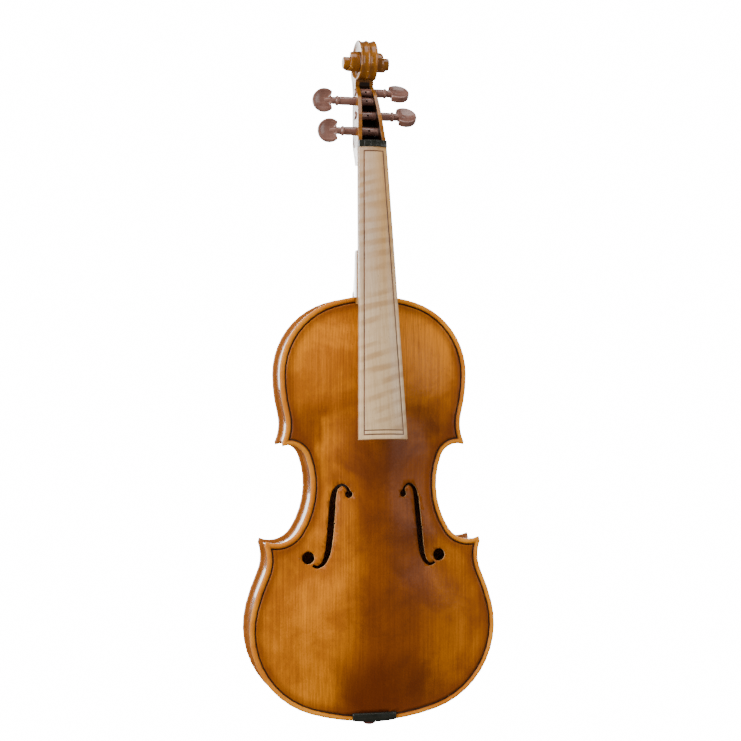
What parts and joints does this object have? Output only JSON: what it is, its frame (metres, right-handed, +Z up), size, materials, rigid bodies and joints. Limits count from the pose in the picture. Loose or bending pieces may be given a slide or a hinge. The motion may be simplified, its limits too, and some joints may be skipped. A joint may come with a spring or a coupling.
{
  "type": "violin",
  "caption": "Unstrung baroque-pattern violin: arched front with sound holes, carved scroll, short inlaid fingerboard and turning friction pegs.",
  "frame": {"origin": "on the end button's axis, on the outside of the lower ribs, half way through the rib height", "axes": "+Z up the body to the scroll, -Y out of the front plate, +X to the treble side"},
  "size_m": [0.212, 0.0926, 0.5854],
  "materials": {
    "spruce_front": "golden brown varnish over fine upright spruce grain, darker and worn in the middle",
    "maple_back": "red-brown varnish over flamed maple",
    "maple_ribs": "glossy red-brown varnish over flamed maple",
    "purfling": "black-stained strip, flush with the plate",
    "willow_inside": "bare planed wood",
    "spruce_inside": "bare planed wood",
    "maple_neck": "golden brown varnish, worn on the edges",
    "board_veneer": "pale polished maple",
    "board_line": "dark inlaid line, flush",
    "ebony": "polished black ebony",
    "rosewood_button": "polished dark red rosewood",
    "peg_wood": "satin brown rosewood"
  },
  "bodies": {
    "instrument": {"top_plate": "spruce_front", "back_plate": "maple_back", "purfling_top": "purfling", "purfling_back": "purfling", "rib_lower_bass": "maple_ribs", "rib_lower_treble": "maple_ribs", "rib_waist_bass": "maple_ribs", "rib_waist_treble": "maple_ribs", "rib_upper_bass": "maple_ribs", "rib_upper_treble": "maple_ribs", "block_neck": "willow_inside", "block_end": "willow_inside", "block_lower_bass": "willow_inside", "block_lower_treble": "willow_inside", "block_upper_bass": "willow_inside", "block_upper_treble": "willow_inside", "lining_top_lower_bass": "willow_inside", "lining_top_lower_treble": "willow_inside", "lining_top_waist_bass": "willow_inside", "lining_top_waist_treble": "willow_inside", "lining_top_upper_bass": "willow_inside", "lining_top_upper_treble": "willow_inside", "lining_back_lower_bass": "willow_inside", "lining_back_lower_treble": "willow_inside", "lining_back_waist_bass": "willow_inside", "lining_back_waist_treble": "willow_inside", "lining_back_upper_bass": "willow_inside", "lining_back_upper_treble": "willow_inside", "bass_bar": "spruce_inside", "sound_post": "spruce_inside", "neck": "maple_neck", "fingerboard": "board_veneer", "board_inlay": "board_line", "nut": "ebony", "saddle": "ebony", "end_button": "rosewood_button"},
    "peg_g_body": {"peg_g": "peg_wood"},
    "peg_e_body": {"peg_e": "peg_wood"},
    "peg_d_body": {"peg_d": "peg_wood"},
    "peg_a_body": {"peg_a": "peg_wood"}
  },
  "joints": [
    {"name": "peg_g_turn", "type": "hinge", "parent": "instrument", "child": "peg_g_body", "pos_m": [0, 0.00307, 0.4965], "axis": [1, 0, 0], "continuous": true},
    {"name": "peg_e_turn", "type": "hinge", "parent": "instrument", "child": "peg_e_body", "pos_m": [0, 0.00774, 0.5105], "axis": [1, 0, 0], "continuous": true},
    {"name": "peg_d_turn", "type": "hinge", "parent": "instrument", "child": "peg_d_body", "pos_m": [0, 0.01194, 0.52352], "axis": [1, 0, 0], "continuous": true},
    {"name": "peg_a_turn", "type": "hinge", "parent": "instrument", "child": "peg_a_body", "pos_m": [0, 0.01506, 0.53164], "axis": [1, 0, 0], "continuous": true}
  ]
}
